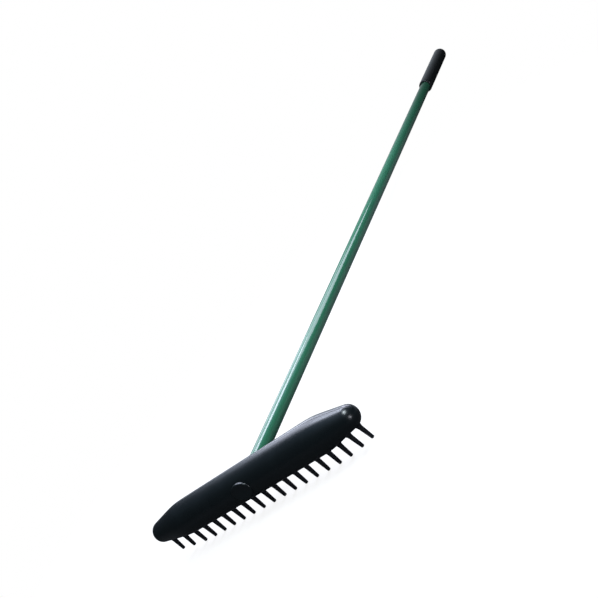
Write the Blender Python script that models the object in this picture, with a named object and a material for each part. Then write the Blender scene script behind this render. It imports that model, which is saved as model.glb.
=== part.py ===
"""Bunker rake: a hollow round head with nineteen tines, a tube handle and a closed grip.

It lies as it is left on the sand, tines down: +Y runs from the head to the grip, +X along the
head and +Z up. The origin is the tip of the middle tine. Lengths are in metres.
"""
import math

import bmesh
import bpy
from mathutils import Matrix, Vector

MM = 0.001

# Head: a round hull, straight in the middle, that narrows to two blunt ends
HEAD_LENGTH = 475 * MM
HEAD_DIAMETER = 55.2 * MM
HEAD_WALL = 2.5 * MM
TAPER_LENGTH = 72.5 * MM    # at each end of the head
TAPER_SLOPE = 0.176         # loss of radius for each metre along the head
TAPER_SOFTNESS = 6.4 * MM     # how gently the straight part turns into the taper
END_ROUNDING = 14 * MM    # length of the round end
AXIS_HEIGHT = 55.3 * MM       # middle of the head above the tips of the tines

# Tines: turned pegs, pressed into a rail on the floor of the head
TINE_COUNT = 19
TINE_MARGIN = 17.9 * MM     # from the end of the head to the root of the last tine
TINE_TIP_DIAMETER = 5.4 * MM
TINE_TIP_FLAT = 2.6 * MM
TINE_MIDDLE_DIAMETER = 7.1 * MM
TINE_ROOT_DIAMETER = 9.6 * MM
TINE_FLARE = 5.0 * MM       # length of the flared root
TINE_SHANK_DIAMETER = 5.0 * MM
TINE_SHANK = 10.5 * MM      # length above the underside of the head
LEANING_TINES = 2           # at each end, set along the taper
TINE_LEAN = math.radians(5)
RAIL_WIDTH = 12 * MM
RAIL_HEIGHT = 9 * MM
RAIL_OVERHANG = 6 * MM      # past the root of the last tine
RAIL_LIFT = 0.45 * MM       # seat of the rail above the floor of the hollow

# Handle: tube, socket through the head and grip, all on one axis
TUBE_DIAMETER = 24 * MM
TUBE_WALL = 1 * MM
HANDLE_REACH = 1576 * MM    # from the middle of the head to the end of the grip
SOCKET_DIAMETER = 28 * MM
SOCKET_FRONT = 13 * MM      # closed front end of the socket from the middle of the head
SOCKET_FLOOR = 2.5 * MM
SOCKET_ROUNDING = 1.2 * MM
NECK_REACH = 38 * MM        # rear end of the socket from the middle of the head
FLANGE_DIAMETER = 38 * MM
FLANGE_THICKNESS = 2.5 * MM
GRIP_DIAMETER = 32 * MM
GRIP_LENGTH = 212 * MM
GRIP_END_WALL = 6 * MM
GRIP_LIP_ROUNDING = 2.5 * MM

# Oval cap in the front of the head, almost square to the hull
CAP_WIDTH = 40 * MM         # along the head
CAP_HEIGHT = 30 * MM
CAP_TILT = math.radians(2)  # face turned up
CAP_PROUD = 0.8 * MM        # flat face above the round of the hull
CAP_FACE = 2.5 * MM
CAP_WALL = 2 * MM
CAP_ROUNDING = 2 * MM
CAP_LIP = 1.2 * MM          # snap lip behind the wall of the head
CAP_LIP_THICKNESS = 1.5 * MM

# Screws
SHELL_SCREW_MARGIN = 67.5 * MM   # outer screws, from the ends of the head
SHELL_SCREW_OFFSET = 70 * MM     # inner screws, from the middle of the head
SCREW_DIAMETER = 4 * MM
SCREW_HEAD_DIAMETER = 7.6 * MM
SCREW_HEAD_HEIGHT = 2.6 * MM
SCREW_CROWN_DIAMETER = 5.4 * MM
SCREW_RIM_HEIGHT = 1.4 * MM
SCREW_RECESS_DIAMETER = 3.0 * MM
SCREW_RECESS_DEPTH = 1.4 * MM
SHELL_SCREW_LENGTH = 28 * MM
POST_DIAMETER = 12 * MM
WELL_FLOOR = 14 * MM        # bearing face of a shell screw behind the seam
NECK_SCREW_PLACE = 31 * MM  # behind the middle of the head, on the underside of the neck
NECK_SCREW_LENGTH = 9 * MM
SPOT_FACE_DIAMETER = 8.8 * MM
SPOT_FACE_DEPTH = 0.8 * MM

# Clearances
FIT = 0.3 * MM              # between two pieces that touch

# Shading
SHARP_EDGE = math.radians(35)

# Facets
HULL_SIDES = 32
INNER_SIDES = 28
ROUND_SIDES = 32
TINE_SIDES = 10
SCREW_SIDES = 12
HOLE_SIDES = 10
END_STEPS = 7               # stations round each end of the head

HEAD_HALF = HEAD_LENGTH / 2
HEAD_RADIUS = HEAD_DIAMETER / 2
TAPER_START = HEAD_HALF - TAPER_LENGTH
TINE_PITCH = (HEAD_LENGTH - 2 * TINE_MARGIN) / (TINE_COUNT - 1)
SHELL_SCREW_PLACES = (SHELL_SCREW_MARGIN - HEAD_HALF, -SHELL_SCREW_OFFSET,
                      SHELL_SCREW_OFFSET, HEAD_HALF - SHELL_SCREW_MARGIN)
HOLE_RADIUS = TINE_SHANK_DIAMETER / 2 + FIT
BORE_RADIUS = TUBE_DIAMETER / 2 + FIT
CAP_STRETCH = CAP_WIDTH / CAP_HEIGHT
HANDLE_FALL = math.asin((AXIS_HEIGHT - GRIP_DIAMETER / 2) / (HANDLE_REACH - GRIP_DIAMETER / 2))


def clear_scene():
    for item in list(bpy.data.objects):
        bpy.data.objects.remove(item)


def material(name, colour, roughness, metallic=0.0):
    result = bpy.data.materials.new(name)
    result.use_nodes = True
    shader = result.node_tree.nodes["Principled BSDF"]
    shader.inputs["Base Color"].default_value = (*colour, 1)
    shader.inputs["Roughness"].default_value = roughness
    shader.inputs["Metallic"].default_value = metallic
    return result


def mesh_from(bm, name):
    """Ends a bmesh as a mesh whose faces point outwards."""
    bmesh.ops.recalc_face_normals(bm, faces=bm.faces)
    mesh = bpy.data.meshes.new(name)
    bm.to_mesh(mesh)
    bm.free()
    return mesh


def place(name, mesh, parent=None):
    item = bpy.data.objects.new(name, mesh)
    item.parent = parent
    bpy.context.collection.objects.link(item)
    return item


def finish(item, look):
    """Gives a piece its material and smooth shading up to its real edges."""
    item.data.materials.clear()
    item.data.materials.append(look)
    item.data.shade_smooth()
    item.data.set_sharp_from_angle(angle=SHARP_EDGE)


def carve(target, tool, operation="DIFFERENCE"):
    """Joins, cuts or trims a piece with a tool, and clears the tool away."""
    bpy.context.view_layer.update()
    boolean = target.modifiers.new("carve", "BOOLEAN")
    boolean.operation = operation
    boolean.object = tool
    graph = bpy.context.evaluated_depsgraph_get()
    target.data = bpy.data.meshes.new_from_object(target.evaluated_get(graph))
    target.modifiers.remove(boolean)
    bpy.data.objects.remove(tool)


def add_turned(bm, profile, sides, matrix=Matrix.Identity(4), ring=False):
    """Turns (radius, height) points about the local Z axis; a ring profile closes on itself."""
    rows = []
    for radius, height in profile:
        if radius == 0:
            rows.append([bm.verts.new(matrix @ Vector((0, 0, height)))])
            continue
        turn = [2 * math.pi * side / sides for side in range(sides)]
        rows.append([bm.verts.new(matrix @ Vector((radius * math.cos(a), radius * math.sin(a), height)))
                     for a in turn])
    pairs = list(zip(rows, rows[1:]))
    if ring:
        pairs.append((rows[-1], rows[0]))
    for upper, lower in pairs:
        for side in range(sides):
            after = (side + 1) % sides
            if len(upper) == 1:
                bm.faces.new((upper[0], lower[side], lower[after]))
            elif len(lower) == 1:
                bm.faces.new((upper[side], lower[0], upper[after]))
            else:
                bm.faces.new((upper[side], lower[side], lower[after], upper[after]))


def turned(name, profile, sides, parent=None, ring=False, stretch=1.0):
    """A turned piece on its own axis, drawn out to an oval along local X by a stretch."""
    bm = bmesh.new()
    add_turned(bm, profile, sides, Matrix.Diagonal((stretch, 1, 1, 1)), ring)
    return place(name, mesh_from(bm, name), parent)


def plug(radius, low, high):
    """Profile of a plain solid cylinder between two heights."""
    return [(0, low), (radius, low), (radius, high), (0, high)]


def quarter(centre_radius, centre_height, size, first, last, steps):
    """Arc points of a rounded edge, from one angle to another, in degrees."""
    turn = [math.radians(first + (last - first) * step / steps) for step in range(steps + 1)]
    return [(centre_radius + size * math.cos(a), centre_height + size * math.sin(a)) for a in turn]


def block(name, low, high):
    bm = bmesh.new()
    size = Vector(high) - Vector(low)
    middle = (Vector(high) + Vector(low)) / 2
    bmesh.ops.create_cube(bm, size=1, matrix=Matrix.Translation(middle) @ Matrix.Diagonal((*size, 1)))
    return place(name, mesh_from(bm, name))


def hull_radius(x, inset=0.0):
    """Radius of the head at a place along it, or of a hull a little inside it."""
    past = (abs(x) - TAPER_START) / TAPER_SOFTNESS
    drop = TAPER_SLOPE * TAPER_SOFTNESS * math.log1p(math.exp(past))
    left = min(max((HEAD_HALF - inset - abs(x)) / END_ROUNDING, 0), 1)
    return (HEAD_RADIUS - drop - inset) * math.sqrt(1 - (1 - left) ** 2)


def hull_stations(inset):
    """Places along half of the head: close together at the bend and round the end."""
    bend = [TAPER_START + TAPER_SOFTNESS * step for step in (-3.2, -1.4, -0.3, 0.8, 2.0, 3.8)]
    round_start = HEAD_HALF - inset - END_ROUNDING
    turn = [math.pi / 2 * step / END_STEPS for step in range(END_STEPS)]
    return [0.0] + bend + [round_start + END_ROUNDING * math.sin(a) for a in turn]


def hull(name, inset, sides):
    """A closed hull along X whose surface lies a given depth inside the head's own."""
    along = hull_stations(inset)
    along = [-x for x in reversed(along[1:])] + along
    end = HEAD_HALF - inset
    profile = [(0, -end)] + [(hull_radius(x, inset), x) for x in along] + [(0, end)]
    bm = bmesh.new()
    to_x = Matrix.Translation((0, 0, AXIS_HEIGHT)) @ Matrix.Rotation(math.pi / 2, 4, "Y")
    add_turned(bm, profile, sides, to_x @ Matrix.Rotation(math.pi / sides, 4, "Z"))
    return place(name, mesh_from(bm, name))


def tine_frames():
    """Place and lean of each tine where its root meets the underside of the head."""
    frames = []
    for number in range(TINE_COUNT):
        step = number - (TINE_COUNT - 1) / 2
        x = step * TINE_PITCH
        leaning = number < LEANING_TINES or number >= TINE_COUNT - LEANING_TINES
        lean = math.copysign(TINE_LEAN, -x) if leaning else 0.0
        turn = Matrix.Rotation(lean, 4, "Y")
        drop = 0.0
        for side in range(HOLE_SIDES):
            angle = 2 * math.pi * side / HOLE_SIDES
            rim = turn @ Vector((math.cos(angle), math.sin(angle), 0)) * TINE_ROOT_DIAMETER / 2
            under = math.sqrt(hull_radius(x + rim.x) ** 2 - rim.y ** 2)
            drop = max(drop, under + rim.z)
        drop = max(drop, hull_radius(x))
        frames.append(Matrix.Translation((x, 0, AXIS_HEIGHT - drop - FIT)) @ turn)
    return frames


def tine_profile():
    """From the top of the shank down to the tip; height 0 is the top of the flared root."""
    length = AXIS_HEIGHT - HEAD_RADIUS - FIT
    shank = TINE_SHANK_DIAMETER / 2
    tip = TINE_TIP_DIAMETER / 2
    round_tip = tip - TINE_TIP_FLAT / 2
    middle = TINE_MIDDLE_DIAMETER / 2
    flare = [(middle + (TINE_ROOT_DIAMETER / 2 - middle) * (1 - share) ** 2, -TINE_FLARE * share)
             for share in (0, 0.15, 0.45, 1)]
    return ([(0, TINE_SHANK), (shank - FIT, TINE_SHANK), (shank, TINE_SHANK - 2 * FIT), (shank, 0)]
            + flare
            + quarter(tip - round_tip, round_tip - length, round_tip, 0, -90, 2)
            + [(0, -length)])


def tine_holes(name, depth_up, depth_down):
    """Cutter with one cylinder for the shank of each tine."""
    bm = bmesh.new()
    for frame in tine_frames():
        add_turned(bm, plug(HOLE_RADIUS, -depth_down, depth_up), HOLE_SIDES, frame)
    return place(name, mesh_from(bm, name))


def along_y(x, z, radius, low, high, sides=SCREW_SIDES):
    """A cylinder across the head, from the front to the rear."""
    bm = bmesh.new()
    frame = Matrix.Translation((x, 0, z)) @ Matrix.Rotation(-math.pi / 2, 4, "X")
    add_turned(bm, plug(radius, low, high), sides, frame)
    return place("across", mesh_from(bm, "across"))


def add_posts(shell, low, high):
    """Joins the screw posts to the inside of a shell, ended inside its wall."""
    for x in SHELL_SCREW_PLACES:
        post = along_y(x, AXIS_HEIGHT, POST_DIAMETER / 2, low, high, ROUND_SIDES // 2)
        carve(post, hull("post_limit", HEAD_WALL / 2, INNER_SIDES), "INTERSECT")
        carve(shell, post, "UNION")


def half_shell(name, low, high):
    """One half of the hollow head, between two planes across the handle."""
    shell = hull(name, 0, HULL_SIDES)
    carve(shell, hull("hollow", HEAD_WALL, INNER_SIDES))
    reach = HEAD_LENGTH
    carve(shell, block("half", (-reach, low, -reach), (reach, high, reach)), "INTERSECT")
    add_posts(shell, max(low, -HEAD_RADIUS), min(high, HEAD_RADIUS))
    carve(shell, tine_holes("tine_holes", TINE_SHANK, TINE_FLARE))
    return shell


def axis_through_head(name, turn):
    """An empty in the middle of the head whose local Z is turned about X from straight up."""
    axis = place(name, None)
    axis.location = (0, 0, AXIS_HEIGHT)
    axis.rotation_euler = (turn, 0, 0)
    return axis


def socket_profile():
    """The socket from its closed front, along the outside, and back down its bore."""
    outside = SOCKET_DIAMETER / 2
    rounding = SOCKET_ROUNDING
    rim = FLANGE_DIAMETER / 2
    flange = math.sqrt((HEAD_RADIUS - HEAD_WALL) ** 2 - rim ** 2) - FIT
    floor = SOCKET_FLOOR - SOCKET_FRONT
    return [(0, -SOCKET_FRONT), (outside - rounding, -SOCKET_FRONT), (outside, rounding - SOCKET_FRONT),
            (outside, flange - FLANGE_THICKNESS), (rim, flange - FLANGE_THICKNESS), (rim, flange),
            (outside, flange), (outside, NECK_REACH - rounding), (outside - rounding, NECK_REACH),
            (BORE_RADIUS, NECK_REACH), (BORE_RADIUS, floor), (0, floor)]


def cap_profile():
    """The cap from its flat face, over its edge, down to the snap lip and into its hollow.

    The radii are those of its height; the stretch to its width comes when it is turned.
    """
    face = HEAD_RADIUS + CAP_PROUD
    side = CAP_HEIGHT / 2
    lip = side + CAP_LIP
    seat = math.sqrt((HEAD_RADIUS - HEAD_WALL) ** 2 - lip ** 2) - FIT
    back = seat - CAP_LIP_THICKNESS
    return ([(0, face)]
            + quarter(side - CAP_ROUNDING, face - CAP_ROUNDING, CAP_ROUNDING, 90, 0, 4)
            + [(side, seat), (lip, seat), (lip, back), (side - CAP_WALL, back),
               (side - CAP_WALL, face - CAP_FACE), (0, face - CAP_FACE)])


def tube_profile():
    """The tube from the floor of the socket to the end wall of the grip, open at both ends."""
    outside = TUBE_DIAMETER / 2
    inside = outside - TUBE_WALL
    rear = HANDLE_REACH - GRIP_END_WALL - FIT
    front = SOCKET_FLOOR - SOCKET_FRONT + FIT
    return [(outside, front), (outside, rear), (inside, rear), (inside, front)]


def grip_profile():
    """The grip from the floor of its blind bore, out over the lip, to its round end."""
    outside = GRIP_DIAMETER / 2
    mouth = HANDLE_REACH - GRIP_LENGTH
    floor = HANDLE_REACH - GRIP_END_WALL
    return ([(0, floor), (BORE_RADIUS, floor), (BORE_RADIUS, mouth)]
            + quarter(outside - GRIP_LIP_ROUNDING, mouth + GRIP_LIP_ROUNDING, GRIP_LIP_ROUNDING, -90, 0, 3)
            + quarter(0, HANDLE_REACH - outside, outside, 0, 90, 7)[:-1]
            + [(0, HANDLE_REACH)])


def screw_profile(length):
    """Pan head with a round recess; the shank runs down from height 0."""
    head = SCREW_HEAD_DIAMETER / 2
    recess = SCREW_RECESS_DIAMETER / 2
    shank = SCREW_DIAMETER / 2
    top = SCREW_HEAD_HEIGHT
    return [(0, top - SCREW_RECESS_DEPTH), (recess, top - SCREW_RECESS_DEPTH), (recess, top),
            (SCREW_CROWN_DIAMETER / 2, top), (head, SCREW_RIM_HEIGHT), (head, 0), (shank, 0),
            (shank, shank - length), (0, -length)]


def build_shells(handle_axis, cap_axis, look):
    """Both halves of the head, opened for the cap, the neck and the shell screws."""
    front = half_shell("front_shell", -HEAD_LENGTH, -FIT / 2)
    rear = half_shell("rear_shell", FIT / 2, HEAD_LENGTH)
    cap_hole = plug(CAP_HEIGHT / 2 + FIT, 0, HEAD_DIAMETER)
    carve(front, turned("cap_hole", cap_hole, ROUND_SIDES, cap_axis, stretch=CAP_STRETCH))
    neck_hole = plug(SOCKET_DIAMETER / 2 + FIT, 0, HEAD_DIAMETER)
    carve(rear, turned("neck_hole", neck_hole, ROUND_SIDES, handle_axis))
    screw_hole = SCREW_DIAMETER / 2 + FIT
    end = WELL_FLOOR - SHELL_SCREW_LENGTH - 2 * FIT
    for x in SHELL_SCREW_PLACES:
        carve(front, along_y(x, AXIS_HEIGHT, screw_hole, end, FIT))
        carve(rear, along_y(x, AXIS_HEIGHT, screw_hole, -FIT, WELL_FLOOR + FIT))
        carve(rear, along_y(x, AXIS_HEIGHT, SCREW_HEAD_DIAMETER / 2 + FIT, WELL_FLOOR, HEAD_DIAMETER))
    finish(front, look)
    finish(rear, look)


def build_rail(look):
    """Bar along the floor of the head; its underside follows the hull and its sockets are blind."""
    end = (TINE_COUNT - 1) / 2 * TINE_PITCH + RAIL_OVERHANG
    count = 2 * TINE_COUNT
    bm = bmesh.new()
    rows = []
    half = RAIL_WIDTH / 2
    for station in range(count + 1):
        x = end * (2 * station / count - 1)
        inner = hull_radius(x, HEAD_WALL)
        low = AXIS_HEIGHT - math.sqrt(inner ** 2 - half ** 2) + RAIL_LIFT
        corners = ((-half, low), (half, low), (half, low + RAIL_HEIGHT), (-half, low + RAIL_HEIGHT))
        rows.append([bm.verts.new((x, y, z)) for y, z in corners])
    for left, right in zip(rows, rows[1:]):
        for side in range(4):
            after = (side + 1) % 4
            bm.faces.new((left[side], right[side], right[after], left[after]))
    bm.faces.new(rows[0])
    bm.faces.new(reversed(rows[-1]))
    rail = place("tine_rail", mesh_from(bm, "tine_rail"))
    carve(rail, tine_holes("sockets", TINE_SHANK + FIT, TINE_FLARE))
    finish(rail, look)


def build_tines(look):
    """One peg in each hole of the head, all of the same moulding."""
    bm = bmesh.new()
    add_turned(bm, tine_profile(), TINE_SIDES)
    mesh = mesh_from(bm, "tine")
    for number, frame in enumerate(tine_frames(), start=1):
        tine = place(f"tine_{number:02d}", mesh)
        tine.location = frame.to_translation()
        tine.rotation_euler = frame.to_euler()
    finish(tine, look)


def screw_frame_on_neck():
    """The neck screw stands on a spot face under the neck; local Y points down there."""
    bearing = SOCKET_DIAMETER / 2 - SPOT_FACE_DEPTH + FIT
    return Matrix.Translation((0, bearing, NECK_SCREW_PLACE)) @ Matrix.Rotation(-math.pi / 2, 4, "X")


def neck_part(name, profile, sides, axis):
    """A turned piece on the axis of the neck screw."""
    bm = bmesh.new()
    add_turned(bm, profile, sides, screw_frame_on_neck())
    return place(name, mesh_from(bm, name), axis)


def build_handle(axis, moulded, painted, rubber, steel):
    """Socket, tube and grip on one axis, and the screw that crosses the neck and the tube wall."""
    socket = turned("handle_socket", socket_profile(), ROUND_SIDES, axis)
    hole = SCREW_DIAMETER / 2 + FIT
    spot_face = plug(SPOT_FACE_DIAMETER / 2, -FIT, SCREW_HEAD_HEIGHT)
    carve(socket, neck_part("spot_face", spot_face, SCREW_SIDES, axis))
    carve(socket, neck_part("hole", plug(hole, -NECK_SCREW_LENGTH, FIT), SCREW_SIDES, axis))
    finish(socket, moulded)
    tube = turned("handle_tube", tube_profile(), ROUND_SIDES, axis, ring=True)
    carve(tube, neck_part("hole", plug(hole, -NECK_SCREW_LENGTH, 0), SCREW_SIDES, axis))
    finish(tube, painted)
    grip = turned("handle_grip", grip_profile(), ROUND_SIDES, axis)
    finish(grip, rubber)
    screw = neck_part("neck_screw", screw_profile(NECK_SCREW_LENGTH), SCREW_SIDES, axis)
    finish(screw, steel)


def build_shell_screws(look):
    """Four like screws that hold the halves of the head together, driven from the rear."""
    bm = bmesh.new()
    add_turned(bm, screw_profile(SHELL_SCREW_LENGTH), SCREW_SIDES)
    mesh = mesh_from(bm, "shell_screw")
    for number, x in enumerate(SHELL_SCREW_PLACES, start=1):
        screw = place(f"shell_screw_{number}", mesh)
        screw.location = (x, WELL_FLOOR + FIT, AXIS_HEIGHT)
        screw.rotation_euler = (-math.pi / 2, 0, 0)
    finish(screw, look)


def build():
    clear_scene()
    black = material("black_moulding", (0.012, 0.013, 0.015), 0.42)
    tine_black = material("tine_nylon", (0.010, 0.011, 0.014), 0.48)
    grey = material("rail_polymer", (0.05, 0.05, 0.05), 0.6)
    green = material("green_paint", (0.037, 0.117, 0.093), 0.25)
    rubber = material("grip_rubber", (0.008, 0.010, 0.010), 0.6)
    steel = material("zinc_steel", (0.45, 0.45, 0.44), 0.35, 1.0)
    handle_axis = axis_through_head("handle_axis", -math.pi / 2 - HANDLE_FALL)
    cap_axis = axis_through_head("cap_axis", math.pi / 2 - CAP_TILT)
    build_shells(handle_axis, cap_axis, black)
    cap = turned("front_cap", cap_profile(), ROUND_SIDES, cap_axis, stretch=CAP_STRETCH)
    finish(cap, black)
    build_rail(grey)
    build_tines(tine_black)
    build_handle(handle_axis, black, green, rubber, steel)
    build_shell_screws(steel)


build()
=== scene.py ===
"""The looks of the bunker rake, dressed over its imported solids. Lengths are in metres."""
import math

import bmesh
import bpy
from mathutils import Matrix, Vector


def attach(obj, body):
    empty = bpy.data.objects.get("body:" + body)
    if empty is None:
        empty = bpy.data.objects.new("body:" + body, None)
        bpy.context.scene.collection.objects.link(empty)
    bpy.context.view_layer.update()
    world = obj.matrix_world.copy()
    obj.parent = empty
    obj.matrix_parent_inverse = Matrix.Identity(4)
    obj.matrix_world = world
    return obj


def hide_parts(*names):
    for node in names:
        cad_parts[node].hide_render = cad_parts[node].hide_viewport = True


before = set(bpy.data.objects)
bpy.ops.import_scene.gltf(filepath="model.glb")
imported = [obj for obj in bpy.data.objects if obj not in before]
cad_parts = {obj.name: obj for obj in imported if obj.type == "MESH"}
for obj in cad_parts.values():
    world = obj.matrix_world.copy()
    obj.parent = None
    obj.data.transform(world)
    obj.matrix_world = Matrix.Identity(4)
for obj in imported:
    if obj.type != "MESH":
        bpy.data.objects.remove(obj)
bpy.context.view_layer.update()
MM = 0.001


# Camera: a long lens in front of the right end of the head, a little above it and rolled, so
# that the head lies low on the left of the picture and the handle rises to the upper right.
PHOTO_WIDTH = 598
FOCAL_PIXELS = 1046.6
SENSOR_WIDTH = 36.0
CAMERA_PLACE = Vector((1.0949, -0.9905, 0.5615))
CAMERA_RIGHT = Vector((0.6411, 0.2652, -0.7201)).normalized()
CAMERA_BACK = Vector((0.5990, -0.7595, 0.2536)).normalized()

camera_up = CAMERA_BACK.cross(CAMERA_RIGHT).normalized()
camera_axes = Matrix((camera_up.cross(CAMERA_BACK), camera_up, CAMERA_BACK)).transposed()
camera_data = bpy.data.cameras.new("camera")
camera_data.sensor_width = SENSOR_WIDTH
camera_data.lens = FOCAL_PIXELS / PHOTO_WIDTH * SENSOR_WIDTH
camera = bpy.data.objects.new("camera", camera_data)
camera.matrix_world = Matrix.Translation(CAMERA_PLACE) @ camera_axes.to_4x4()
bpy.context.scene.collection.objects.link(camera)
bpy.context.scene.camera = camera
bpy.context.scene.view_settings.view_transform = "Standard"


# Head: a hollow satin black moulding in two halves, front and rear, that meet on the plane
# through its length. The halves are screwed together from the rear. The front is open for the
# cap, and the rear for the neck of the handle's socket and for the wells of the four screws.
HEAD_LENGTH = 475 * MM
HEAD_DIAMETER = 55.2 * MM
HEAD_WALL = 2.5 * MM
TAPER_LENGTH = 72.5 * MM
TAPER_SLOPE = 0.176
TAPER_SOFTNESS = 6.4 * MM
END_ROUNDING = 14 * MM
AXIS_HEIGHT = 55.3 * MM
SEAM_GAP = 0.3 * MM
SEAM_ROUNDING = 0.5 * MM
HEAD_STATIONS = 181
SEAM_TO_SEAM = 72               # steps across each wall, from seam to seam
MERGE_DISTANCE = 0.01 * MM
DRUM_SIDES = 96                 # of each post, well and opening
SHARP_EDGE = math.radians(32)
FRONT = -1.0
REAR = 1.0


class Wire:
    """A node's output in plain arithmetic: each operation adds its Math node to the tree."""

    def __init__(self, tree, socket=None):
        self.tree = tree
        self.socket = socket

    def node(self, kind, settings=(), inputs=(), output=0):
        """Adds any other node: its settings first, then the values or links of its sockets."""
        made = self.tree.nodes.new(kind)
        for name, value in dict(settings).items():
            setattr(made, name, value)
        for name, value in dict(inputs).items():
            if isinstance(value, Wire):
                self.tree.links.new(value.socket, made.inputs[name])
            else:
                made.inputs[name].default_value = value
        return Wire(self.tree, made.outputs[output])

    def math(self, operation, *others):
        return self.node("ShaderNodeMath", {"operation": operation}, enumerate((self, *others)))

    def output(self, name):
        """Another output of the same node."""
        return Wire(self.tree, self.socket.node.outputs[name])

    def into(self, socket):
        self.tree.links.new(self.socket, socket)

    def least(self, other):
        return self.math("MINIMUM", other)

    def most(self, other):
        return self.math("MAXIMUM", other)

    def held(self):
        """The value, kept from 0 to 1."""
        return self.most(0).least(1)

    def __add__(self, other):
        return self.math("ADD", other)

    def __radd__(self, other):
        return self.math("ADD", other)

    def __sub__(self, other):
        return self.math("SUBTRACT", other)

    def __rsub__(self, other):
        return self.math("MULTIPLY", -1).math("ADD", other)

    def __mul__(self, other):
        return self.math("MULTIPLY", other)

    def __rmul__(self, other):
        return self.math("MULTIPLY", other)

    def __truediv__(self, other):
        return self.math("DIVIDE", other)

    def __pow__(self, other):
        return self.math("POWER", other)

    def __abs__(self):
        return self.math("ABSOLUTE")


def growth_tree(name, sizes):
    """A Geometry Nodes tree with named inputs, and those inputs as wires."""
    tree = bpy.data.node_groups.new(name, "GeometryNodeTree")
    tree.interface.new_socket("Geometry", in_out="OUTPUT", socket_type="NodeSocketGeometry")
    for label, value in sizes.items():
        kind = {float: "NodeSocketFloat", int: "NodeSocketInt"}.get(type(value), "NodeSocketObject")
        tree.interface.new_socket(label, in_out="INPUT", socket_type=kind)
    given = tree.nodes.new("NodeGroupInput")
    return Wire(tree), {label: Wire(tree, given.outputs[label]) for label in sizes}


def grow(name, start, shape, sizes, material):
    """Ends a tree, runs it with its sizes and keeps the plain mesh that it makes."""
    whole = start.node("GeometryNodeRealizeInstances", {}, {0: shape})
    painted = start.node("GeometryNodeSetMaterial", {}, {"Geometry": whole, "Material": material})
    painted.into(start.tree.nodes.new("NodeGroupOutput").inputs[0])
    piece = bpy.data.objects.new(name, bpy.data.meshes.new(name))
    bpy.context.scene.collection.objects.link(piece)
    modifier = piece.modifiers.new(name, "NODES")
    modifier.node_group = start.tree
    for item in start.tree.interface.items_tree:
        if item.in_out == "INPUT":
            modifier[item.identifier] = sizes[item.name]
    graph = bpy.context.evaluated_depsgraph_get()
    piece.data = bpy.data.meshes.new_from_object(piece.evaluated_get(graph))
    piece.data.name = name
    piece.modifiers.clear()
    smooth(piece)
    return piece


def smooth(piece):
    """Shades a piece round, but for its sharp edges."""
    piece.data.shade_smooth()
    piece.data.set_sharp_from_angle(angle=SHARP_EDGE)


def dress(piece, slot, *nodes):
    """Hands a finished piece to the frame: it rides with the rake and stands for its solids."""
    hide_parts(*nodes)
    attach(piece, "root")


HEAD_SIZES = {
    "Length": HEAD_LENGTH, "Diameter": HEAD_DIAMETER, "Taper length": TAPER_LENGTH,
    "Taper slope": TAPER_SLOPE, "Taper softness": TAPER_SOFTNESS, "End rounding": END_ROUNDING,
    "Axis height": AXIS_HEIGHT,
}


def head_radius(x, inset, given):
    """Radius of the head at a place along it: straight, then tapered, then round at the end."""
    along = abs(x)
    past = (along - (given["Length"] / 2 - given["Taper length"])) / given["Taper softness"]
    bend = (past.math("EXPONENT") + 1).math("LOGARITHM", math.e)
    drop = given["Taper slope"] * given["Taper softness"] * bend
    left = ((given["Length"] / 2 - inset - along) / given["End rounding"]).held()
    round_off = (1 - (1 - left) ** 2).most(0).math("SQRT")
    return (given["Diameter"] / 2 - drop - inset) * round_off


def drum(start, radius, depth, place, turn, stretch=1.0):
    """A cylinder for a post, a well or an opening, drawn out to an oval along X by a stretch."""
    body = start.node("GeometryNodeMeshCylinder", {}, {
        "Vertices": DRUM_SIDES, "Radius": radius, "Depth": depth})
    return start.node("GeometryNodeTransform", {}, {
        "Geometry": body, "Translation": place, "Rotation": turn, "Scale": (stretch, 1, 1)})


def joined(start, *shapes):
    """Several shapes as one."""
    bundle = start.tree.nodes.new("GeometryNodeJoinGeometry")
    for shape in shapes:
        shape.into(bundle.inputs[0])
    return Wire(start.tree, bundle.outputs[0])


def carved(start, operation, shape, tool):
    """A shape with a tool cut away from it, or united with it."""
    cut = start.node("GeometryNodeMeshBoolean", {"operation": operation, "solver": "EXACT"})
    ends = cut.socket.node.inputs
    shape.into(ends[0] if operation == "DIFFERENCE" else ends[1])
    tool.into(ends[1])
    return cut


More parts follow.
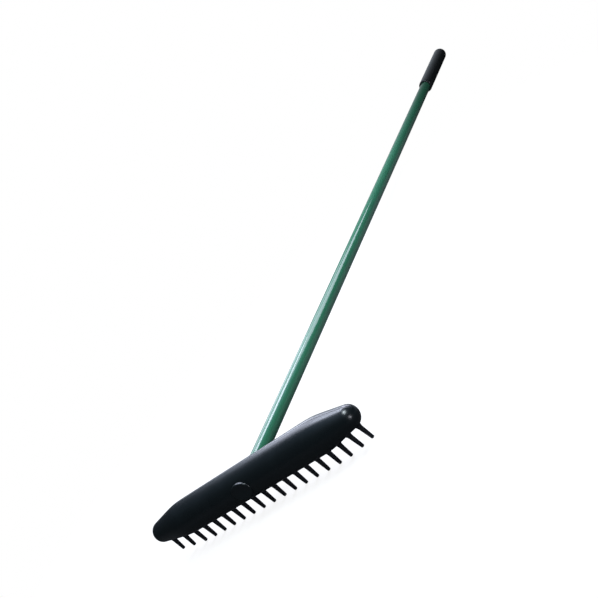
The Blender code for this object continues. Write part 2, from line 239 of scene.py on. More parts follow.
def half_shell(start, given):
    """One half of the head with its wall, as a grid bent round the section and back inside."""
    columns = 2 * SEAM_TO_SEAM + 3
    grid = start.node("GeometryNodeMeshGrid", {}, {
        "Size X": 2.0, "Size Y": columns - 1.0, "Vertices X": HEAD_STATIONS, "Vertices Y": columns})
    spot = start.node("ShaderNodeSeparateXYZ", {}, {0: start.node("GeometryNodeInputPosition")})
    across = spot.output("Y") + (columns - 1) / 2
    column = across.math("ROUND").math("FLOORED_MODULO", columns - 1)
    inside = column.math("GREATER_THAN", SEAM_TO_SEAM + 0.5)
    step = (column - inside * (SEAM_TO_SEAM + 1)) / SEAM_TO_SEAM * 2 - 1
    step = step * (1 - 2 * inside)
    turn = (step * (math.pi / 2)).math("SINE") * (math.pi / 2)
    inset = inside * HEAD_WALL
    reach = (spot.output("X") * (math.pi / 2)).math("SINE")
    x = reach * (given["Length"] / 2 - inset)
    radius = head_radius(x, inset, given)
    to_seam = ((math.pi / 2 - abs(turn)) * radius / SEAM_ROUNDING).least(1)
    eased = radius - (1 - inside) * (SEAM_ROUNDING * (1 - to_seam) ** 2).least(radius)
    y = (eased * turn.math("COSINE")).most(SEAM_GAP / 2) * given["Side"]
    z = given["Axis height"] - eased * turn.math("SINE") * given["Side"]
    bent = start.node("ShaderNodeCombineXYZ", {}, {0: x, 1: y, 2: z})
    moved = start.node("GeometryNodeSetPosition", {}, {"Geometry": grid, "Position": bent})
    return start.node("GeometryNodeMergeByDistance", {}, {
        "Geometry": moved, "Distance": MERGE_DISTANCE})


def new_finish(name, constants):
    """A material, with its plain numbers set on the shader's own sockets."""
    made = bpy.data.materials.new(name)
    made.use_nodes = True
    shader = made.node_tree.nodes["Principled BSDF"]
    for socket, value in constants.items():
        shader.inputs[socket].default_value = value
    return made, Wire(made.node_tree), shader.inputs


def object_place(start):
    """The place of a point on its piece."""
    return start.node("ShaderNodeTexCoord", {}, {}, "Object")


def grain(start, place, cells, detail=2.0, stretch=(1, 1, 1)):
    """Soft noise from 0 to 1 over the piece, a set number of cells to the metre."""
    laid = start.node("ShaderNodeMapping", {}, {"Vector": place, "Scale": stretch})
    return start.node("ShaderNodeTexNoise", {}, {"Vector": laid, "Scale": cells, "Detail": detail})


def blend(start, share, first, second):
    """A colour between two, by a share from 0 to 1."""
    return start.node("ShaderNodeMix", {"data_type": "RGBA"}, {0: share, 6: first, 7: second}, 2)


def relief(start, height, depth):
    """A bump by a height from 0 to about 1, as deep as the depth says."""
    return start.node("ShaderNodeBump", {}, {"Height": height, "Distance": depth, "Strength": 1.0})


FLOW_CELLS = 60                 # flow marks and rubbed patches, to the metre
RUBBED_CELLS = 22
PATCH_CONTRAST = 3
GRAIN_UNEVEN = 0.06             # change of roughness by the grain, the flow and the rubbing
FLOW_UNEVEN = 0.08
RUBBED_UNEVEN = 0.04
GRAIN_DEPTH = 0.02 * MM


def moulded_black(name, dark, pale, roughness, cells):
    """Satin black moulding: a fine sparked grain, faint flow marks and soft rubbed patches."""
    made, start, shader = new_finish(name, {"IOR": 1.5})
    place = object_place(start)
    fine = grain(start, place, cells, detail=3.0)
    flow = grain(start, place, FLOW_CELLS, stretch=(0.15, 1, 1))
    rubbed = grain(start, place, RUBBED_CELLS, detail=4.0)
    patch = ((rubbed - 0.5) * PATCH_CONTRAST).held()
    blend(start, patch, dark, pale).into(shader["Base Color"])
    uneven = roughness + (fine - 0.5) * GRAIN_UNEVEN + (flow - 0.5) * FLOW_UNEVEN
    (uneven + patch * RUBBED_UNEVEN).into(shader["Roughness"])
    relief(start, fine + flow * 0.5, GRAIN_DEPTH).into(shader["Normal"])
    return made


black_moulding = moulded_black(
    "black_moulding", dark=(0.0028, 0.0049, 0.0060, 1), pale=(0.0045, 0.0073, 0.0090, 1),
    roughness=0.29, cells=1400)

# The front half, with the oval opening for the cap
CAP_WIDTH = 40 * MM
CAP_HEIGHT = 30 * MM
CAP_TILT = math.radians(2)
FIT = 0.3 * MM
OPENING_DEPTH = 40 * MM
cap_normal = Vector((0, -math.cos(CAP_TILT), math.sin(CAP_TILT)))
cap_stretch = CAP_WIDTH / CAP_HEIGHT
head_middle = Vector((0, 0, AXIS_HEIGHT))

shell_sizes = {**HEAD_SIZES, "Side": FRONT, "Opening": CAP_HEIGHT / 2 + FIT}
start, given = growth_tree("front_half", shell_sizes)
opening_middle = head_middle + cap_normal * OPENING_DEPTH / 2
opening = drum(start, given["Opening"], OPENING_DEPTH, opening_middle,
               (math.pi / 2 - CAP_TILT, 0, 0), cap_stretch)
front = carved(start, "DIFFERENCE", half_shell(start, given), opening)
front_piece = grow("front_half", start, front, shell_sizes, black_moulding)
dress(front_piece, "black_moulding", "front_shell")

# The rear half, with the neck's opening, the four posts and the wells in them
SOCKET_DIAMETER = 28 * MM
SCREW_OUTER = 170 * MM          # places of the screws to each side of the middle
SCREW_INNER = 70 * MM
POST_DIAMETER = 12 * MM
POST_END = 24.8 * MM
WELL_DIAMETER = 8.2 * MM
WELL_FLOOR = 14 * MM
LAID_DOWN = (math.pi / 2, 0, 0)  # turns a drum from upright to lie from front to rear

screw_places = (-SCREW_OUTER, -SCREW_INNER, SCREW_INNER, SCREW_OUTER)
shell_sizes = {**HEAD_SIZES, "Side": REAR, "Opening": SOCKET_DIAMETER / 2 + FIT}
start, given = growth_tree("rear_half", shell_sizes)
rear = half_shell(start, given)
post_middle = (POST_END + SEAM_GAP) / 2
posts = [drum(start, POST_DIAMETER / 2, POST_END - SEAM_GAP, (x, post_middle, AXIS_HEIGHT), LAID_DOWN)
         for x in screw_places]
rear = carved(start, "UNION", rear, joined(start, *posts))
well_middle = WELL_FLOOR + OPENING_DEPTH / 2
wells = [drum(start, WELL_DIAMETER / 2, OPENING_DEPTH, (x, well_middle, AXIS_HEIGHT), LAID_DOWN)
         for x in screw_places]
neck_opening = drum(start, given["Opening"], OPENING_DEPTH, (0, OPENING_DEPTH / 2, AXIS_HEIGHT),
                    LAID_DOWN)
rear = carved(start, "DIFFERENCE", rear, joined(start, neck_opening, *wells))
rear_piece = grow("rear_half", start, rear, shell_sizes, black_moulding)
dress(rear_piece, "black_moulding", "rear_shell")


# Front cap: an oval snap-in cup of the same moulding, square to the front of the head. Its
# face stands a little proud, so its rounded rim catches the light above and below.
CAP_FACE_REACH = 28.4 * MM
CAP_ROUNDING = 2 * MM
CAP_WALL = 2 * MM
CAP_LIP = 1.2 * MM
CAP_LIP_THICKNESS = 1.5 * MM
CAP_SEAT = 18.85 * MM
CAP_DISH = 0.25 * MM
CAP_DISH_SHARE = 0.6            # of the cap's half height, flat on the floor of the dish
CAP_BROW = 0.6 * MM             # narrow land between the dish and the rounded rim
CAP_BROW_DROP = 0.05 * MM
TURNED_SIDES = 128
ARC_STEPS = 8


def arc(centre_radius, centre_height, size, first, last, steps=ARC_STEPS):
    """Points of a rounded edge of a turned piece, between two angles in degrees."""
    turn = [math.radians(first + (last - first) * step / steps) for step in range(steps + 1)]
    return [(centre_radius + size * math.cos(a), centre_height + size * math.sin(a)) for a in turn]


def turned(name, profile, matrix, material, sides=TURNED_SIDES):
    """A piece turned about the local Z axis of a matrix; a profile off the axis is a ring."""
    bm = bmesh.new()
    rows = []
    for radius, height in profile:
        angles = [2 * math.pi * side / sides for side in range(sides)] if radius else [0.0]
        rows.append([bm.verts.new(matrix @ Vector((radius * math.cos(a), radius * math.sin(a), height)))
                     for a in angles])
    pairs = list(zip(rows, rows[1:]))
    if profile[0][0] and profile[-1][0]:
        pairs.append((rows[-1], rows[0]))
    for upper, lower in pairs:
        for side in range(sides):
            after = (side + 1) % sides
            corners = [upper[side % len(upper)], lower[side % len(lower)],
                       lower[after % len(lower)], upper[after % len(upper)]]
            bm.faces.new(dict.fromkeys(corners))
    bmesh.ops.recalc_face_normals(bm, faces=bm.faces)
    mesh = bpy.data.meshes.new(name)
    bm.to_mesh(mesh)
    bm.free()
    piece = bpy.data.objects.new(name, mesh)
    bpy.context.scene.collection.objects.link(piece)
    mesh.materials.append(material)
    smooth(piece)
    return piece


cap_side = CAP_HEIGHT / 2
cap_bore = cap_side - CAP_WALL
cap_inside = CAP_FACE_REACH - 2 * CAP_WALL
cap_profile = (
    [(0, CAP_FACE_REACH - CAP_DISH), (cap_side * CAP_DISH_SHARE, CAP_FACE_REACH - CAP_DISH)]
    + [(cap_side - CAP_ROUNDING - CAP_BROW, CAP_FACE_REACH - CAP_BROW_DROP)]
    + arc(cap_side - CAP_ROUNDING, CAP_FACE_REACH - CAP_ROUNDING, CAP_ROUNDING, 90, 0)
    + [(cap_side, CAP_SEAT), (cap_side + CAP_LIP, CAP_SEAT),
       (cap_side + CAP_LIP, CAP_SEAT - CAP_LIP_THICKNESS), (cap_bore, CAP_SEAT - CAP_LIP_THICKNESS),
       (cap_bore, cap_inside), (0, cap_inside)])
cap_matrix = Matrix.Translation(head_middle) @ Matrix.Rotation(math.pi / 2 - CAP_TILT, 4, "X")
cap_oval = cap_matrix @ Matrix.Diagonal((cap_stretch, 1, 1, 1))
cap_piece = turned("front_cap_cup", cap_profile, cap_oval, black_moulding)
dress(cap_piece, "black_moulding", "front_cap")


# Tines: nineteen slim pegs of black nylon, each moulded with a flared root that beds on the
# underside of the head, and pressed into the rail inside. The two at each end lean outwards.
TINE_COUNT = 19
TINE_MARGIN = 17.9 * MM
TINE_TIP_DIAMETER = 5.4 * MM
TINE_TIP_FLAT = 2.6 * MM
TINE_MIDDLE_DIAMETER = 7.1 * MM
TINE_ROOT_DIAMETER = 9.6 * MM
TINE_FLARE = 8.0 * MM
FLARE_CURVE = 2.4               # power by which the root flares out
FLARE_STEPS = 9
TINE_SHANK_DIAMETER = 5.0 * MM
TINE_SHANK = 9.5 * MM
TINE_BEDDING = 0.7 * MM         # how far the root is drawn up against the head
TINE_LEAN = math.radians(5)
LEANING_TINES = 2
LEANING_DROP = 0.35 * MM
TINE_SIDES = 28

tine_nylon = moulded_black(
    "tine_nylon", dark=(0.0050, 0.0056, 0.0080, 1), pale=(0.0080, 0.0090, 0.0125, 1),
    roughness=0.36, cells=2200)

tine_length = AXIS_HEIGHT - HEAD_DIAMETER / 2 - FIT
tip_round = (TINE_TIP_DIAMETER - TINE_TIP_FLAT) / 2
flare_grow = (TINE_ROOT_DIAMETER - TINE_MIDDLE_DIAMETER) / 2
flare = [(TINE_MIDDLE_DIAMETER / 2 + flare_grow * (1 - step / FLARE_STEPS) ** FLARE_CURVE,
          -TINE_FLARE * step / FLARE_STEPS) for step in range(FLARE_STEPS + 1)]
tine_profile = (
    [(0, TINE_SHANK), (TINE_SHANK_DIAMETER / 2, TINE_SHANK), (TINE_SHANK_DIAMETER / 2, TINE_BEDDING)]
    + [(TINE_ROOT_DIAMETER / 2, TINE_BEDDING)] + flare
    + arc(TINE_TIP_DIAMETER / 2 - tip_round, tip_round - tine_length, tip_round, 0, -90)
    + [(0, -tine_length)])
one_tine = turned("one_tine", tine_profile, Matrix.Identity(4), tine_nylon, TINE_SIDES)

row_sizes = {**HEAD_SIZES, "Tine": one_tine, "Count": TINE_COUNT, "Margin": TINE_MARGIN,
             "Lean": TINE_LEAN, "Leaning": LEANING_TINES}
start, given = growth_tree("tine_row", row_sizes)
number = start.node("GeometryNodeInputIndex")
middle = (given["Count"] - 1) / 2
pitch = (given["Length"] - 2 * given["Margin"]) / (given["Count"] - 1)
x = (number - middle) * pitch
leaning = abs(number - middle).math("GREATER_THAN", middle - given["Leaning"] + 0.5)
lean = x.math("SIGN") * leaning * given["Lean"] * -1
z = given["Axis height"] - head_radius(x, 0, given) - leaning * LEANING_DROP - FIT
spots = start.node("GeometryNodeMeshLine", {}, {"Count": given["Count"]})
seats = start.node("GeometryNodeSetPosition", {}, {
    "Geometry": spots, "Position": start.node("ShaderNodeCombineXYZ", {}, {0: x, 2: z})})
peg = start.node("GeometryNodeObjectInfo", {}, {"Object": given["Tine"]}, "Geometry")
pegs = start.node("GeometryNodeInstanceOnPoints", {}, {
    "Points": seats, "Instance": peg,
    "Rotation": start.node("ShaderNodeCombineXYZ", {}, {1: lean})})
tines = grow("tine_row", start, pegs, row_sizes, tine_nylon)
bpy.data.objects.remove(one_tine)
dress(tines, "tine_nylon", *[f"tine_{number:02d}" for number in range(1, TINE_COUNT + 1)])


# Rail: a plain bar of dark grey plastic along the floor of the head that holds the tines'
# shanks. It is closed in by the two halves and keeps its solid.
RAIL_DARK = (0.035, 0.035, 0.036, 1)
RAIL_PALE = (0.065, 0.065, 0.064, 1)
RAIL_ROUGHNESS = 0.55
SPECKLE_UNEVEN = 0.1

rail_polymer, start, shader = new_finish("rail_polymer", {"IOR": 1.5})
speckle = grain(start, object_place(start), cells=700, detail=3.0)
blend(start, speckle, RAIL_DARK, RAIL_PALE).into(shader["Base Color"])
(RAIL_ROUGHNESS + speckle * SPECKLE_UNEVEN).into(shader["Roughness"])
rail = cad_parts["tine_rail"]
rail.data.materials.clear()
rail.data.materials.append(rail_polymer)


# Handle tube: a thin steel tube, 24 mm across, in a hard glossy blue-green coat that flowed
# out with a slight ripple. It runs from the floor of the socket to the end of the grip.
TUBE_DIAMETER = 24 * MM
TUBE_WALL = 1 * MM
TUBE_FRONT = -10.2 * MM
GRIP_DIAMETER = 32 * MM
GRIP_END_WALL = 6 * MM
HANDLE_REACH = 1576 * MM
HANDLE_FALL = math.asin((AXIS_HEIGHT - GRIP_DIAMETER / 2) / (HANDLE_REACH - GRIP_DIAMETER / 2))
TUBE_STEP = 12 * MM
TUBE_BREAK = 0.2 * MM           # broken edge at each end
PAINT_DARK = (0.018, 0.090, 0.050, 1)
PAINT_PALE = (0.026, 0.113, 0.063, 1)
PAINT_ROUGHNESS = 0.30
CLOUD_UNEVEN = 0.12
SPECK_UNEVEN = 0.05
SPECK_HEIGHT = 0.12             # beside the ripple's height of 1
RIPPLE_DEPTH = 0.012 * MM

handle_matrix = Matrix.Translation(head_middle) @ Matrix.Rotation(-math.pi / 2 - HANDLE_FALL, 4, "X")

green_paint, start, shader = new_finish("green_paint", {
    "IOR": 1.5, "Specular IOR Level": 0.0, "Coat Weight": 0.8, "Coat Roughness": 0.07,
    "Coat IOR": 1.5})
place = object_place(start)
ripple = grain(start, place, cells=320, detail=1.0)
cloud = grain(start, place, cells=14, detail=3.0, stretch=(1, 0.35, 1))
speck = grain(start, place, cells=1600)
blend(start, cloud, PAINT_DARK, PAINT_PALE).into(shader["Base Color"])
uneven = PAINT_ROUGHNESS + (cloud - 0.5) * CLOUD_UNEVEN + (speck - 0.5) * SPECK_UNEVEN
uneven.into(shader["Roughness"])
relief(start, ripple + speck * SPECK_HEIGHT, RIPPLE_DEPTH).into(shader["Normal"])

tube_rear = HANDLE_REACH - GRIP_END_WALL - FIT
tube_out = TUBE_DIAMETER / 2
tube_in = tube_out - TUBE_WALL
tube_steps = round((tube_rear - TUBE_FRONT) / TUBE_STEP)
tube_straight = tube_rear - TUBE_FRONT - 2 * TUBE_BREAK
tube_profile = (
    [(tube_in, TUBE_FRONT), (tube_out - TUBE_BREAK, TUBE_FRONT)]
    + [(tube_out, TUBE_FRONT + TUBE_BREAK + tube_straight * step / tube_steps)
       for step in range(tube_steps + 1)]
    + [(tube_out - TUBE_BREAK, tube_rear), (tube_in, tube_rear)])
tube_piece = turned("painted_tube", tube_profile, handle_matrix, green_paint)
dress(tube_piece, "green_paint", "handle_tube")


# Grip: a soft black sleeve with a closed round end, pushed over the last 212 mm of the handle.
# Its mouth is a rounded lip. The skin has a fine pebbled grain.
GRIP_LENGTH = 212 * MM
GRIP_LIP_ROUNDING = 2.5 * MM
GRIP_STEP = 8 * MM
GRIP_END_STEPS = 24
GRIP_DARK = (0.0022, 0.0036, 0.0044, 1)
GRIP_PALE = (0.0042, 0.0062, 0.0072, 1)
GRIP_ROUGHNESS = 0.32
HAZE_UNEVEN = 0.12
PEBBLE_CELLS = 900
PEBBLE_DEPTH = 0.06 * MM

grip_rubber, start, shader = new_finish("grip_rubber", {"IOR": 1.5, "Specular IOR Level": 1.0})
place = object_place(start)
pebble = start.node("ShaderNodeTexVoronoi", {"feature": "SMOOTH_F1"}, {
    "Vector": place, "Scale": PEBBLE_CELLS})
haze = grain(start, place, cells=30, detail=3.0)
blend(start, haze, GRIP_DARK, GRIP_PALE).into(shader["Base Color"])
(GRIP_ROUGHNESS + (haze - 0.5) * HAZE_UNEVEN).into(shader["Roughness"])
relief(start, 1 - pebble, PEBBLE_DEPTH).into(shader["Normal"])

grip_out = GRIP_DIAMETER / 2
grip_mouth = HANDLE_REACH - GRIP_LENGTH
bore = TUBE_DIAMETER / 2 + FIT
grip_floor = HANDLE_REACH - GRIP_END_WALL
grip_straight = HANDLE_REACH - grip_out - grip_mouth - GRIP_LIP_ROUNDING
grip_steps = round(grip_straight / GRIP_STEP)
grip_profile = (
    [(0, grip_floor), (bore, grip_floor), (bore, grip_mouth)]
    + arc(grip_out - GRIP_LIP_ROUNDING, grip_mouth + GRIP_LIP_ROUNDING, GRIP_LIP_ROUNDING, -90, 0)
    + [(grip_out, grip_mouth + GRIP_LIP_ROUNDING + grip_straight * step / grip_steps)
       for step in range(1, grip_steps)]
    + arc(0, HANDLE_REACH - grip_out, grip_out, 0, 90, GRIP_END_STEPS)[:-1] + [(0, HANDLE_REACH)])
grip_piece = turned("closed_grip", grip_profile, handle_matrix, grip_rubber)
dress(grip_piece, "grip_rubber", "handle_grip")


# Socket: a moulded sleeve across the inside of the head. Its flange bears on the rear wall,
# and its neck comes out behind to carry the tube, with a spot face below for the screw.
SOCKET_FRONT = 13 * MM
SOCKET_FLOOR = 2.5 * MM
SOCKET_ROUNDING = 1.2 * MM
NECK_REACH = 38 * MM
FLANGE_DIAMETER = 38 * MM
FLANGE_THICKNESS = 2.5 * MM
FLANGE_FACE = 16.1 * MM
NECK_SCREW_PLACE = 31 * MM
SPOT_FACE_DIAMETER = 8.8 * MM
SPOT_FACE_DEPTH = 0.8 * MM
SPOT_TOOL_HEIGHT = 5 * MM
SPOT_TOOL_SIDES = 64


def cut_away(piece, tool):
    """Cuts a tool's shape out of a piece and clears the tool away."""
    boolean = piece.modifiers.new("cut", "BOOLEAN")
    boolean.operation = "DIFFERENCE"
    boolean.object = tool
    graph = bpy.context.evaluated_depsgraph_get()
    piece.data = bpy.data.meshes.new_from_object(piece.evaluated_get(graph))
    piece.modifiers.clear()
    bpy.data.objects.remove(tool)
    smooth(piece)


socket_out = SOCKET_DIAMETER / 2
flange_out = FLANGE_DIAMETER / 2
flange_front = FLANGE_FACE - FLANGE_THICKNESS
socket_bottom = SOCKET_FLOOR - SOCKET_FRONT
socket_profile = (
    [(0, -SOCKET_FRONT)]
    + arc(socket_out - SOCKET_ROUNDING, SOCKET_ROUNDING - SOCKET_FRONT, SOCKET_ROUNDING, -90, 0)
    + [(socket_out, flange_front), (flange_out, flange_front), (flange_out, FLANGE_FACE),
       (socket_out, FLANGE_FACE)]
    + arc(socket_out - SOCKET_ROUNDING, NECK_REACH - SOCKET_ROUNDING, SOCKET_ROUNDING, 0, 90)
    + [(bore, NECK_REACH), (bore, socket_bottom), (0, socket_bottom)])
socket_piece = turned("neck_socket", socket_profile, handle_matrix, black_moulding)
spot_seat = Matrix.Translation((0, socket_out - SPOT_FACE_DEPTH, NECK_SCREW_PLACE))
screw_matrix = handle_matrix @ spot_seat @ Matrix.Rotation(-math.pi / 2, 4, "X")
spot_out = SPOT_FACE_DIAMETER / 2
spot_profile = [(0, 0), (spot_out, 0), (spot_out, SPOT_TOOL_HEIGHT), (0, SPOT_TOOL_HEIGHT)]
spot_tool = turned("spot_tool", spot_profile, screw_matrix, black_moulding, SPOT_TOOL_SIDES)
cut_away(socket_piece, spot_tool)
dress(socket_piece, "black_moulding", "handle_socket")


# Screws: five zinc plated pan head screws. Four sit in the wells of the rear half, and a
# shorter one stands on the spot face under the neck. Each head has a cross recess.
SCREW_DIAMETER = 4 * MM
SCREW_HEAD_DIAMETER = 7.6 * MM
SCREW_HEAD_HEIGHT = 2.6 * MM
SCREW_CROWN_ROUNDING = 1.1 * MM
RECESS_LENGTH = 4.2 * MM
RECESS_WIDTH = 0.9 * MM
RECESS_DEPTH = 1.5 * MM
SHELL_SCREW_LENGTH = 28 * MM
NECK_SCREW_LENGTH = 9 * MM
SCREW_SIDES = 48
SCREW_TURN = 1.1                # radians from each screw's cross to the next one's
ZINC_DARK = (0.50, 0.51, 0.52, 1)
ZINC_PALE = (0.62, 0.62, 0.59, 1)
ZINC_ROUGHNESS = 0.26
SPANGLE_UNEVEN = 0.16
SPANGLE_CELLS = 1800

zinc_steel, start, shader = new_finish("zinc_steel", {"Metallic": 1.0})
place = object_place(start)
spangle = start.node("ShaderNodeTexVoronoi", {}, {"Vector": place, "Scale": SPANGLE_CELLS}, "Color")
shade = start.node("ShaderNodeSeparateColor", {}, {0: spangle})
blend(start, shade, ZINC_DARK, ZINC_PALE).into(shader["Base Color"])
(ZINC_ROUGHNESS + shade * SPANGLE_UNEVEN).into(shader["Roughness"])


def pan_screw(name, length, matrix):
    """A pan head screw whose seat is at height 0, with a cross cut into the head."""
    head = SCREW_HEAD_DIAMETER / 2
    shank = SCREW_DIAMETER / 2
    profile = (
        [(0, SCREW_HEAD_HEIGHT)]
        + arc(head - SCREW_CROWN_ROUNDING, SCREW_HEAD_HEIGHT - SCREW_CROWN_ROUNDING,
              SCREW_CROWN_ROUNDING, 90, 0)
        + [(head, 0), (shank, 0), (shank, shank - length), (0, -length)])
    screw = turned(name, profile, matrix, zinc_steel, SCREW_SIDES)
    for size in ((RECESS_LENGTH, RECESS_WIDTH), (RECESS_WIDTH, RECESS_LENGTH)):
        bm = bmesh.new()
        slot_size = Matrix.Diagonal((*size, 2 * RECESS_DEPTH, 1))
        slot = Matrix.Translation((0, 0, SCREW_HEAD_HEIGHT)) @ slot_size
        bmesh.ops.create_cube(bm, size=1, matrix=matrix @ slot)
        mesh = bpy.data.meshes.new("slot")
        bm.to_mesh(mesh)
        bm.free()
        tool = bpy.data.objects.new("slot", mesh)
        bpy.context.scene.collection.objects.link(tool)
        cut_away(screw, tool)
    return screw


on_seat = screw_matrix @ Matrix.Translation((0, 0, FIT))
neck_screw_piece = pan_screw("neck_pan_screw", NECK_SCREW_LENGTH, on_seat)
dress(neck_screw_piece, "zinc_steel", "neck_screw")

one_screw = pan_screw("one_screw", SHELL_SCREW_LENGTH, Matrix.Identity(4))
set_sizes = {"Screw": one_screw, "Outer": SCREW_OUTER, "Inner": SCREW_INNER,
             "Seat": WELL_FLOOR + FIT, "Height": AXIS_HEIGHT}
start, given = growth_tree("screw_set", set_sizes)
number = start.node("GeometryNodeInputIndex")
side = number.math("FLOORED_MODULO", 2.0) * 2 - 1
outer = number.math("GREATER_THAN", 1.5)
x = side * (given["Inner"] + outer * (given["Outer"] - given["Inner"]))
spots = start.node("GeometryNodeMeshLine", {}, {"Count": len(screw_places)})
seats = start.node("GeometryNodeSetPosition", {}, {
    "Geometry": spots,
    "Position": start.node("ShaderNodeCombineXYZ", {}, {0: x, 1: given["Seat"], 2: given["Height"]})})
one = start.node("GeometryNodeObjectInfo", {}, {"Object": given["Screw"]}, "Geometry")
screws = start.node("GeometryNodeInstanceOnPoints", {}, {
    "Points": seats, "Instance": one,
    "Rotation": start.node("ShaderNodeCombineXYZ", {}, {0: -math.pi / 2, 1: number * SCREW_TURN})})
screw_set = grow("screw_set", start, screws, set_sizes, zinc_steel)
bpy.data.objects.remove(one_screw)
dress(screw_set, "zinc_steel", *[f"shell_screw_{number}" for number in range(1, 5)])


# Studio: a turned strip lamp and a tall soft lamp at its left stand behind the rake, and draw the
# band along the head and the stripe down the tube. Two small lamps draw the glints on the right
# end of the head. Floor and background look white to the camera, and the floor keeps a shadow.
FLOOR_SIZE = 12
FLOOR_MIDDLE = (0, 0.10, 0)
FLOOR_SHADOW_SHARE = 0.15
FLOOR_FADE_START = 0.6          # from the middle, where the shadow begins to fade
FLOOR_FADE_END = 0.9
FLOOR_WHITE = (0.92, 0.92, 0.92, 1)
FLOOR_PALE = (0.15, 0.15, 0.15, 1)
FLOOR_DARK = (0.03, 0.03, 0.03, 1)  # to reflections, but for a band of it under the tube
UNDER_TUBE_RISE = 0.25          # from the floor's middle until that band is pale
UNDER_TUBE_END = 1.35
UNDER_TUBE_FALL = 0.2           # before its end

floor_paint = bpy.data.materials.new("floor_paint")
floor_paint.use_nodes = True
floor_paint.node_tree.nodes.clear()
start = Wire(floor_paint.node_tree)
path = start.node("ShaderNodeLightPath")
seen = path.output("Is Camera Ray")
mirrored = path.output("Is Glossy Ray")
apart = start.node("ShaderNodeVectorMath", {"operation": "SUBTRACT"}, {
    0: object_place(start), 1: FLOOR_MIDDLE})
away = start.node("ShaderNodeVectorMath", {"operation": "LENGTH"}, {0: apart}, "Value")
fade = ((away - FLOOR_FADE_START) / (FLOOR_FADE_END - FLOOR_FADE_START)).held()
behind_head = start.node("ShaderNodeSeparateXYZ", {}, {0: apart}).output("Y")
rising = behind_head / UNDER_TUBE_RISE
falling = (UNDER_TUBE_END - behind_head) / UNDER_TUBE_FALL
under_tube = rising.least(falling).held()
shade = mirrored * (1 - under_tube)
plain_grey = blend(start, shade, FLOOR_PALE, FLOOR_DARK)
plain = start.node("ShaderNodeBsdfDiffuse", {}, {"Color": plain_grey})
shaded = start.node("ShaderNodeBsdfDiffuse", {}, {"Color": FLOOR_WHITE})
white = start.node("ShaderNodeEmission", {}, {"Color": (1, 1, 1, 1), "Strength": 1.0})
pale = start.node("ShaderNodeMixShader", {}, {
    0: (1 - fade) * FLOOR_SHADOW_SHARE, 1: white, 2: shaded})
both = start.node("ShaderNodeMixShader", {}, {0: seen, 1: plain, 2: pale})
both.into(start.tree.nodes.new("ShaderNodeOutputMaterial").inputs[0])

floor_mesh = bpy.data.meshes.new("floor")
corner = FLOOR_SIZE / 2
floor_mesh.from_pydata([(-corner, -corner, 0), (corner, -corner, 0),
                        (corner, corner, 0), (-corner, corner, 0)], [], [(0, 1, 2, 3)])
floor_mesh.materials.append(floor_paint)
floor = bpy.data.objects.new("floor", floor_mesh)
bpy.context.scene.collection.objects.link(floor)

# The room: dim to reflections, with a glow from the back left and one from overhead
ROOM_LIGHT = 0.55               # on whatever isn't a reflection
ROOM_GLOW = 0.03
BACK_GLOW = 0.75
OVERHEAD_GLOW = 0.28
GLOW_START = 0.6                # how far a direction points back, or up, where a glow begins
GLOW_RISE = 0.35
GLOW_RIGHT_END = 0.4
GLOW_RIGHT_FALL = 0.8

world = bpy.data.worlds.new("studio")
world.use_nodes = True
world.node_tree.nodes.clear()
bpy.context.scene.world = world
start = Wire(world.node_tree)
path = start.node("ShaderNodeLightPath")
to_eye = path.output("Is Camera Ray").most(path.output("Is Transmission Ray"))
mirrored = path.output("Is Glossy Ray")
direction = start.node("ShaderNodeTexCoord", {}, {}, "Generated")
axes = start.node("ShaderNodeSeparateXYZ", {}, {0: direction})
toward_right, toward_back, toward_top = (axes.output(axis) for axis in "XYZ")
leftward = ((GLOW_RIGHT_END - toward_right) / GLOW_RIGHT_FALL).held()
behind = ((toward_back - GLOW_START) / GLOW_RISE).held() * leftward
overhead = ((toward_top - GLOW_START) / GLOW_RISE).held()
glow = ROOM_GLOW + BACK_GLOW * behind + OVERHEAD_GLOW * overhead
level = to_eye + (1 - to_eye) * (mirrored * glow + (1 - mirrored) * ROOM_LIGHT)
cool = blend(start, mirrored * overhead, (0.80, 0.90, 1.0, 1), (0.28, 0.55, 1.0, 1))
tone = blend(start, to_eye, cool, (1, 1, 1, 1))
start.node("ShaderNodeBackground", {}, {"Color": tone, "Strength": level}).into(
    start.tree.nodes.new("ShaderNodeOutputWorld").inputs[0])

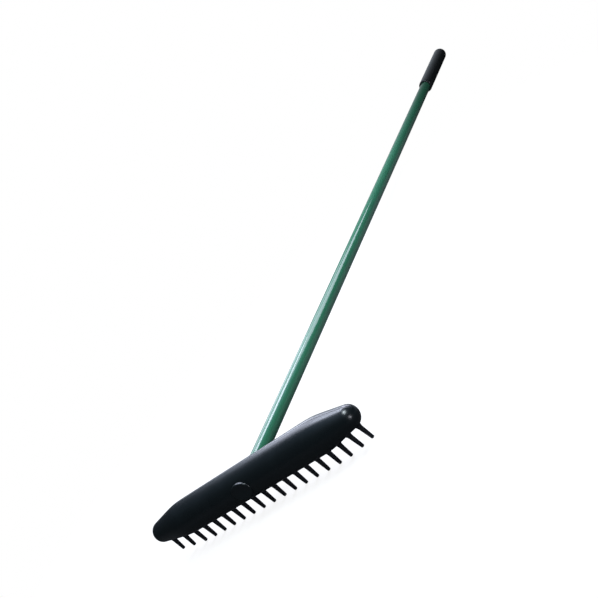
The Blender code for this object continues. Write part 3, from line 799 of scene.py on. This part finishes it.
# The lamps: on one wall the strip in three lengths, a dim lamp at its right and the soft lamp in
# three widths, and apart from that wall the two glints
WALL_MIDDLE = Vector((0, 0.80, 1.10))
WALL_FACING = Vector((0, -0.88, -0.474))
WALL_UP = Vector((0, -0.474, 0.88))
STRIP_TURN = math.radians(-31)


def lamp(name, place, target, width, height, radiance, colour, roll=0.0):
    """A soft rectangular lamp turned towards a point, as bright as its radiance says."""
    data = bpy.data.lights.new(name, "AREA")
    data.shape = "RECTANGLE"
    data.size = width
    data.size_y = height
    data.energy = radiance * math.pi * width * height
    data.color = colour
    item = bpy.data.objects.new(name, data)
    facing = (Vector(target) - Vector(place)).to_track_quat("-Z", "Y")
    item.matrix_world = (Matrix.Translation(place) @ facing.to_matrix().to_4x4()
                         @ Matrix.Rotation(roll, 4, "Z"))
    item.visible_camera = False
    bpy.context.scene.collection.objects.link(item)


for name, across, up, width, height, roll, radiance, colour in (
        ("strip_low", 0.156, -0.61, 0.42, 0.443, STRIP_TURN, 7.0, (0.80, 0.82, 1.0)),
        ("strip_middle", -0.054, -0.26, 0.42, 0.373, STRIP_TURN, 17.0, (0.80, 0.82, 1.0)),
        ("strip_high", -0.345, 0.225, 0.42, 0.758, STRIP_TURN, 12.0, (0.76, 0.83, 1.0)),
        ("strip_side", 0.36, -0.30, 0.26, 0.80, STRIP_TURN, 1.2, (0.45, 0.58, 1.0)),
        ("softbox_right", -0.42, 0.0, 0.60, 1.60, 0, 3.2, (0.78, 0.83, 1.0)),
        ("softbox_left", -0.89, -0.075, 0.34, 1.75, 0, 4.6, (0.78, 0.83, 1.0)),
        ("softbox_edge", -1.20, -0.075, 0.28, 1.75, 0, 0.35, (0.58, 0.74, 1.0))):
    place = WALL_MIDDLE + Vector((across, 0, 0)) + WALL_UP * up
    lamp(name, place, place + WALL_FACING, width, height, radiance, colour, roll)
for name, place, target, size, radiance, colour in (
        ("top_glint", (0.48, -0.08, 1.10), (0.23, 0, 0.07), 0.46, 22.0, (0.84, 0.94, 1.0)),
        ("side_glint", (1.42, -0.90, 0.32), (0.23, 0, 0.06), 0.34, 18.0, (0.88, 0.90, 1.0))):
    lamp(name, place, target, size, size, radiance, colour)
